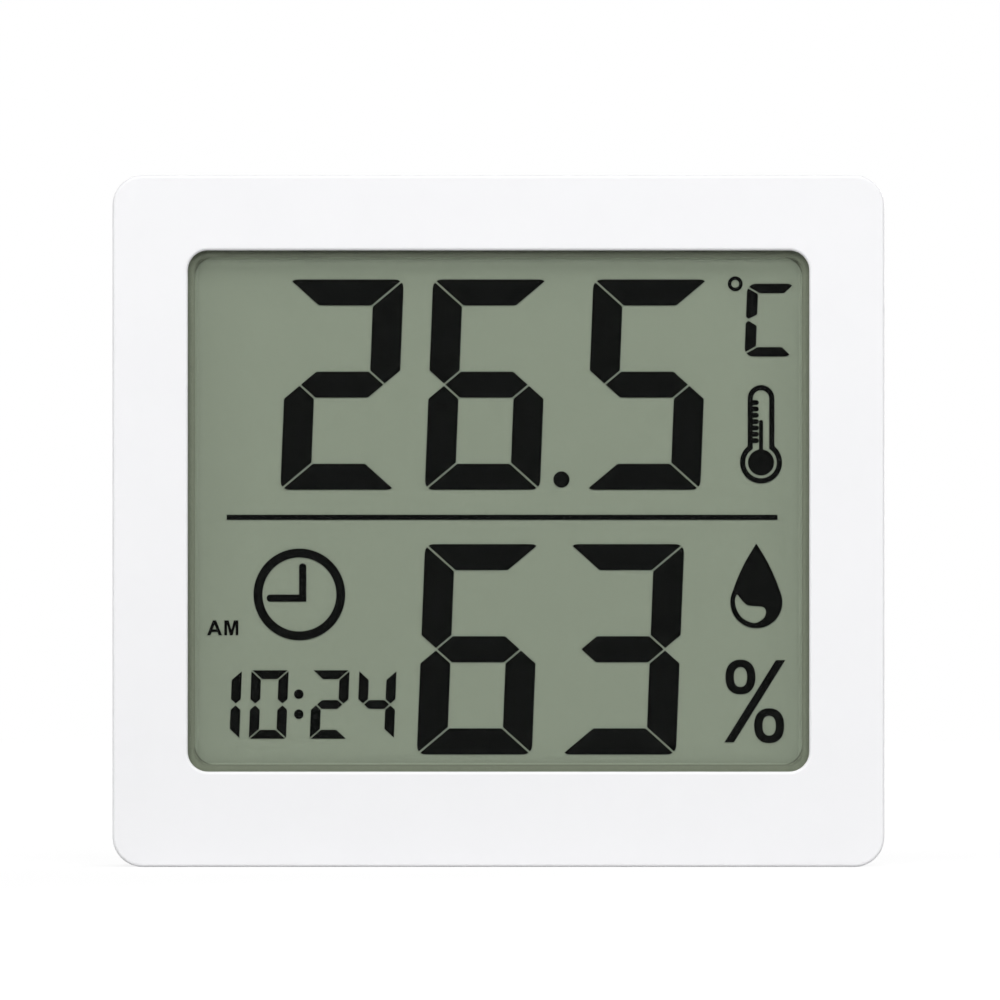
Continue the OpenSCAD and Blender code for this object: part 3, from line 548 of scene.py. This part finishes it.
def put_sign(name, *solids):
    """One sign of the display's drawing."""
    put_piece(name, "housing", "segment_black", INK, *solids)


# Sideways lean of the letters for each unit of height
LEAN = 0.0395


def degree_sign():
    """Ring between two circles."""
    middle, outer_r, inner_r = (23.64, 22.62), 0.741, 0.389
    put_sign("degree_sign", band(oval(middle, outer_r, outer_r), oval(middle, inner_r, inner_r)))


def celsius_letter():
    """Letter C of four bars: two lying ones with slanted ends and two standing ones that meet
    in a point. The upper half is drawn, and turned over for the lower one."""
    middle = np.array([27.0, 18.995])
    half_w, half_h = 2.304, 3.635
    lying, standing = 0.945, 1.11
    corner_r = 0.9
    corner = (corner_r - half_w, half_h - corner_r)
    bar_foot = half_h - lying
    inner_x = standing - half_w
    top = np.concatenate([
        arc(corner, corner_r, 90, 141.1, 8),
        [(-1.023, bar_foot), (1.38, bar_foot)],
        [(2.19, half_h - 0.205), (2.0, half_h - 0.075), (1.78, half_h)],
    ])
    arc_count, point_drop = 6, 0.06
    side = np.concatenate([
        arc(corner, corner_r, 151.8, 180, arc_count),
        [(-half_w, 0.35), (0.274 - half_w, 0.125)],
    ])
    inner = np.array([(inner_x, 0.57), (inner_x, 2.594)])
    upper = np.concatenate([side, inner])
    lower = np.concatenate([side - (0, point_drop), inner])
    lower[:arc_count] = side[:arc_count]
    flip = np.array([1, -1])
    bars = [top, upper, (lower * flip)[::-1], (top * flip)[::-1]]
    leaning = [middle + bar + np.stack([LEAN * bar[:, 1], 0 * bar[:, 1]], 1) for bar in bars]
    put_sign("celsius_letter", *(plate(bar) for bar in leaning))


def thermometer_sign():
    """Tube with a bulb: an open outline, a filled bulb with its column, and seven round-ended
    marks on the tube's left wall."""
    bulb, cap_z = (26.211, 4.805), 11.185
    outer_r, outer_half_w = 2.096, 1.333
    inner_r, inner_half_w = 1.573, 0.817
    case = band(keyhole(bulb, outer_r, outer_half_w, cap_z), keyhole(bulb, inner_r, inner_half_w, cap_z))
    filled_r, column_half_w, column_top = 1.302, 0.199, 8.84
    column = plate(keyhole(bulb, filled_r, column_half_w, column_top))
    wall_x = bulb[0] - inner_half_w
    mark_run, mark_half = 0.345, 0.25
    first_mark, last_mark, mark_count = 10.768, 6.977, 7
    marks = []
    for z in np.linspace(first_mark, last_mark, mark_count):
        end = arc((wall_x + mark_run, z), mark_half, -90, 90, 12)
        outline = np.concatenate([[(wall_x, z - mark_half)], end, [(wall_x, z + mark_half)]])
        marks.append(plate(outline))
    put_sign("thermometer_sign", case, column, *marks)


def clock_sign():
    """Ring with two hands of one outline, round at their ends, which meet at a right angle."""
    middle, outer_r, inner_r = (-19.826, -8.362), 4.575, 3.687
    face = band(oval(middle, outer_r, outer_r), oval(middle, inner_r, inner_r))
    half = 0.358
    hand_x, hand_z = -19.493, -8.732
    top, left = -5.256, -23.095
    hands = np.concatenate([
        [(hand_x + half, hand_z - half)],
        arc((hand_x, top - half), half, 0, 180),
        [(hand_x - half, hand_z + half)],
        arc((left + half, hand_z), half, 90, 270),
    ])
    put_sign("clock_sign", face, plate(hands))


def morning_letters():
    """Letters A and M: A as two mirrored halves, each with half of the crossbar, and M as one
    outline."""
    foot, top = -12.43, -10.95
    a_middle, a_half = -28.29, 0.74
    stem, apex = 0.33, 0.165
    counter = top - 0.41
    bar_low, bar_high = foot + 0.33, foot + 0.588
    lean = (a_half - apex) / (top - foot)

    def outside(z):
        """Outer flank of the A: a straight line from foot to apex."""
        return a_half - lean * (z - foot)

    def inside(z):
        """Inner flank of the A: a straight line from foot to the counter's tip."""
        return (a_half - stem) * (counter - z) / (counter - foot)

    half_a = np.array([
        (0, top), (0, counter), (inside(bar_high), bar_high), (0, bar_high), (0, bar_low),
        (inside(bar_low), bar_low), (inside(foot), foot), (outside(foot), foot), (apex, top),
    ])
    right = half_a + (a_middle, 0)
    left = (half_a * (-1, 1) + (a_middle, 0))[::-1]
    m_left, m_right, stroke = -27.313, -25.914, 0.273
    m_middle = (m_left + m_right) / 2
    shoulder, crotch, tip, head = top - 0.38, foot + 0.54, 0.14, 0.437
    letter_m = np.array([
        (m_left, foot), (m_left + stroke, foot), (m_left + stroke, shoulder),
        (m_middle - tip, foot), (m_middle + tip, foot),
        (m_right - stroke, shoulder), (m_right - stroke, foot), (m_right, foot),
        (m_right, top), (m_right - head, top), (m_middle, crotch), (m_left + head, top), (m_left, top),
    ])
    put_sign("morning_letters", plate(right), plate(left), plate(letter_m))


def drop_sign():
    """Drop with a light crescent left open: two plates, above and below a cut through the
    crescent's two ends."""
    x, middle, r = 25.742, -9.135, 2.596
    flank = smooth_run([(2.33, -7.98), (2.053, -7.181), (1.54, -5.984), (0.929, -4.788), (0, -3.27)])
    left_cut, right_cut = 158, 317
    above = np.concatenate([
        arc((0, middle), r, right_cut - 360, 25, 24), flank, flank[-2::-1] * (-1, 1),
        arc((0, middle), r, 155, left_cut, 4),
    ])
    below = arc((0, middle), r, left_cut, right_cut, 48)
    left_end, right_end = (-1.9, -8.33), (0.985, -10.08)
    upper_edge = smooth_run([
        left_end, (-1.574, -8.777), (-1.15, -9.25), (-0.72, -9.485),
        (0.43, -9.561), (0.8, -9.72), right_end,
    ])
    lower_edge = smooth_run([
        right_end, (0.72, -10.74), (-0.17, -11.205), (-1.301, -10.772),
        (-1.9, -9.98), (-2.13, -9.1), (-2.06, -8.65), left_end,
    ])
    put_sign("drop_sign", plate(np.concatenate([above, upper_edge]) + (x, 0)),
             plate(np.concatenate([below, lower_edge]) + (x, 0)))


def percent_sign():
    """Two squarish rings and a slanted stroke."""
    upper, lower = (24.16, -16.6), (27.02, -21.45)
    outer, inner, squareness = (1.497, 1.735), (0.662, 0.985), 2.3
    rings = [band(oval(m, *outer, squareness), oval(m, *inner, squareness)) for m in (upper, lower)]
    top, foot = -14.91, -23.1
    stroke = plate([(22.57, foot), (23.51, foot), (28.625, top), (27.69, top)])
    put_sign("percent_sign", *rings, stroke)


# Raised marks of the back, in millimetres from the middle of the piece they stand on

def middle_and_face(node):
    """The middle of a node in x and z, in millimetres, and the y of its back face."""
    low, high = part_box(node)
    return np.array([low.x + high.x, low.z + high.z]) / 2 / MM, high.y


def raised(outline, middle, face):
    """Pad that stands on a face: sunk foot, upright side and a top drawn in towards the pad's
    own middle."""
    top_share, side_share = 0.93, 0.7
    outline = np.asarray(outline, float)
    heart = outline.mean(0)
    top = heart + top_share * (outline - heart)
    depths = [face - SUNK, face + side_share * RAISED, face + RAISED]
    return stack([middle + outline, middle + outline, middle + top], depths)


def at(r, angle):
    """The point r from the middle at an angle in degrees from +X towards +Z."""
    return r * np.array([math.cos(math.radians(angle)), math.sin(math.radians(angle))])


def rounded_triangle(reach, corner_r, up):
    """Triangle with its point up or down: three arcs, each a third of a turn, at the corners."""
    turns = (90, 210, 330) if up > 0 else (270, 30, 150)
    inner = reach - 2 * corner_r
    return np.concatenate([arc(at(inner, t), corner_r, t - 60, t + 60, 8) for t in turns])


def key_marks():
    """Upper key with a triangle up, lower key with one down, and a ring on the middle key."""
    triangle_reach, triangle_corner_r = 1.35, 0.15
    outer_r, inner_r = 1.05, 0.65
    grey = FINISH["upper_key"]
    for level, up in (("upper", 1), ("lower", -1)):
        middle, face = middle_and_face(level + "_key")
        mark = raised(rounded_triangle(triangle_reach, triangle_corner_r, up), middle, face)
        put_piece(level + "_key_mark", level + "_key_body", "key_grey", grey, mark)
    middle, face = middle_and_face("middle_key")
    outer, inner = oval(middle, outer_r, outer_r), oval(middle, inner_r, inner_r)
    mark = ring(outer, inner, face - SUNK, face + RAISED)
    put_piece("middle_key_mark", "middle_key_body", "key_grey", grey, mark)


def door_arrow():
    """Bent arrow on the battery door, which points the way it opens: two arcs and a
    three-cornered head."""
    middle, face = middle_and_face("battery_door")
    inner_r, outer_r, wing = 8.5, 9.3, 0.8
    tail, neck, tip = 122, 74, 62
    arrow = np.concatenate([
        arc((0, 0), outer_r, neck, tail, 24), arc((0, 0), inner_r, tail, neck, 24),
        [at(inner_r - wing, neck), at((inner_r + outer_r) / 2, tip), at(outer_r + wing, neck)],
    ])
    mark = stack([middle + arrow] * 2, [face - SUNK, face + RAISED])
    put_piece("door_arrow", "door_body", "case_white", FINISH["battery_door"], mark)


# Studio

def white_rays(tree):
    """1 for rays that come from the camera, from a mirror-like surface or through a clear one,
    and else 0."""
    path = tree.nodes.new("ShaderNodeLightPath")
    total = path.outputs["Is Camera Ray"]
    for name in ("Is Glossy Ray", "Is Transmission Ray"):
        larger = tree.nodes.new("ShaderNodeMath")
        larger.operation = "MAXIMUM"
        tree.links.new(total, larger.inputs[0])
        tree.links.new(path.outputs[name], larger.inputs[1])
        total = larger.outputs["Value"]
    return total


def studio_world(before, behind):
    """White where it is seen, and for everything else a soft light that dims evenly from before
    and below the case to behind and above it, so that the edges of the white case stand out."""
    dim_side, dim_start, dim_stop = (0, 0.9, 0.43), -0.3, 0.3
    world = bpy.data.worlds.new("studio")
    scene.world = world
    world.use_nodes = True
    tree = world.node_tree
    soft = tree.nodes["Background"]
    soft.inputs["Color"].default_value = (1, 1, 1, 1)
    way = tree.nodes.new("ShaderNodeVectorMath")
    way.operation = "DOT_PRODUCT"
    way.inputs[1].default_value = dim_side
    tree.links.new(tree.nodes.new("ShaderNodeTexCoord").outputs["Generated"], way.inputs[0])
    dim = tree.nodes.new("ShaderNodeMapRange")
    dim.inputs["From Min"].default_value = dim_start
    dim.inputs["From Max"].default_value = dim_stop
    dim.inputs["To Min"].default_value = before
    dim.inputs["To Max"].default_value = behind
    tree.links.new(way.outputs["Value"], dim.inputs["Value"])
    tree.links.new(dim.outputs["Result"], soft.inputs["Strength"])
    white = tree.nodes.new("ShaderNodeBackground")
    white.inputs["Color"].default_value = (1, 1, 1, 1)
    white.inputs["Strength"].default_value = 1.0
    mix = tree.nodes.new("ShaderNodeMixShader")
    tree.links.new(white_rays(tree), mix.inputs["Fac"])
    tree.links.new(soft.outputs["Background"], mix.inputs[1])
    tree.links.new(white.outputs["Background"], mix.inputs[2])
    tree.links.new(mix.outputs["Shader"], tree.nodes["World Output"].inputs["Surface"])


def studio_floor(half, hair):
    """Square floor a hair under the case: pale, and where it is seen mostly a white glow, with
    the shadow left in."""
    low = cad_box[0].z - hair
    corners = np.array([(-half, -half, low), (half, -half, low), (half, half, low), (-half, half, low)])
    mesh = bpy.data.meshes.new("floor")
    mesh.from_pydata(corners.tolist(), [], [[0, 1, 2, 3]])
    floor = bpy.data.objects.new("floor", mesh)
    scene.collection.objects.link(floor)
    material = bpy.data.materials.new("floor_white")
    material.use_nodes = True
    tree = material.node_tree
    tree.nodes.remove(tree.nodes["Principled BSDF"])
    pale = tree.nodes.new("ShaderNodeBsdfDiffuse")
    pale.inputs["Color"].default_value = (0.5, 0.5, 0.5, 1)
    bright = tree.nodes.new("ShaderNodeBsdfDiffuse")
    bright.inputs["Color"].default_value = (0.95, 0.95, 0.95, 1)
    glow = tree.nodes.new("ShaderNodeEmission")
    glow.inputs["Strength"].default_value = 1.06
    seen = tree.nodes.new("ShaderNodeMixShader")
    seen.inputs["Fac"].default_value = 0.8
    tree.links.new(bright.outputs["BSDF"], seen.inputs[1])
    tree.links.new(glow.outputs["Emission"], seen.inputs[2])
    mix = tree.nodes.new("ShaderNodeMixShader")
    tree.links.new(white_rays(tree), mix.inputs["Fac"])
    tree.links.new(pale.outputs["BSDF"], mix.inputs[1])
    tree.links.new(seen.outputs["Shader"], mix.inputs[2])
    tree.links.new(mix.outputs["Shader"], tree.nodes["Material Output"].inputs["Surface"])
    mesh.materials.append(material)


def softbox(name, place, aim, width, height, power):
    """Rectangular lamp at a place, turned towards the point it aims at."""
    light = bpy.data.lights.new(name, "AREA")
    light.shape = "RECTANGLE"
    light.size = width
    light.size_y = height
    light.energy = power
    lamp = bpy.data.objects.new(name, light)
    scene.collection.objects.link(lamp)
    lamp.location = place
    away = np.array(place) - np.array(aim)
    flat = math.hypot(away[0], away[1])
    lamp.rotation_euler = (math.atan2(flat, away[2]), 0, math.atan2(away[0], -away[1]))


def photo_camera():
    """Long lens square on to the front face, so that the frame is as wide there as the photograph."""
    frame_w, frame_x, frame_z = 99.74 * MM, 0.15 * MM, 36.6 * MM
    lens = 600.0
    camera = bpy.data.cameras.new("photo_camera")
    camera.lens = lens
    camera.sensor_width = 36.0
    distance = frame_w * lens / camera.sensor_width
    camera.clip_start = 0.1
    camera.clip_end = 10.0
    eye = bpy.data.objects.new("photo_camera", camera)
    scene.collection.objects.link(eye)
    eye.location = (frame_x, cad_box[0].y - distance, frame_z)
    eye.rotation_euler = (math.pi / 2, 0, 0)
    scene.camera = eye


dress_nodes()
degree_sign()
celsius_letter()
thermometer_sign()
clock_sign()
morning_letters()
drop_sign()
percent_sign()
key_marks()
door_arrow()

middle_of_case = (0, 0, (cad_box[0].z + cad_box[1].z) / 2)
studio_world(before=0.45, behind=0.2)
studio_floor(half=0.85, hair=0.02 * MM)
softbox("front_softbox", (-0.06, -1.06, 0.58), middle_of_case, width=1.4, height=0.5, power=8.1)
softbox("top_softbox", (0, -0.72, 1.05), middle_of_case, width=1.0, height=0.4, power=5.0)
softbox("rear_softbox", (0.55, 0.85, 0.3), middle_of_case, width=0.5, height=0.4, power=7.5)
photo_camera()
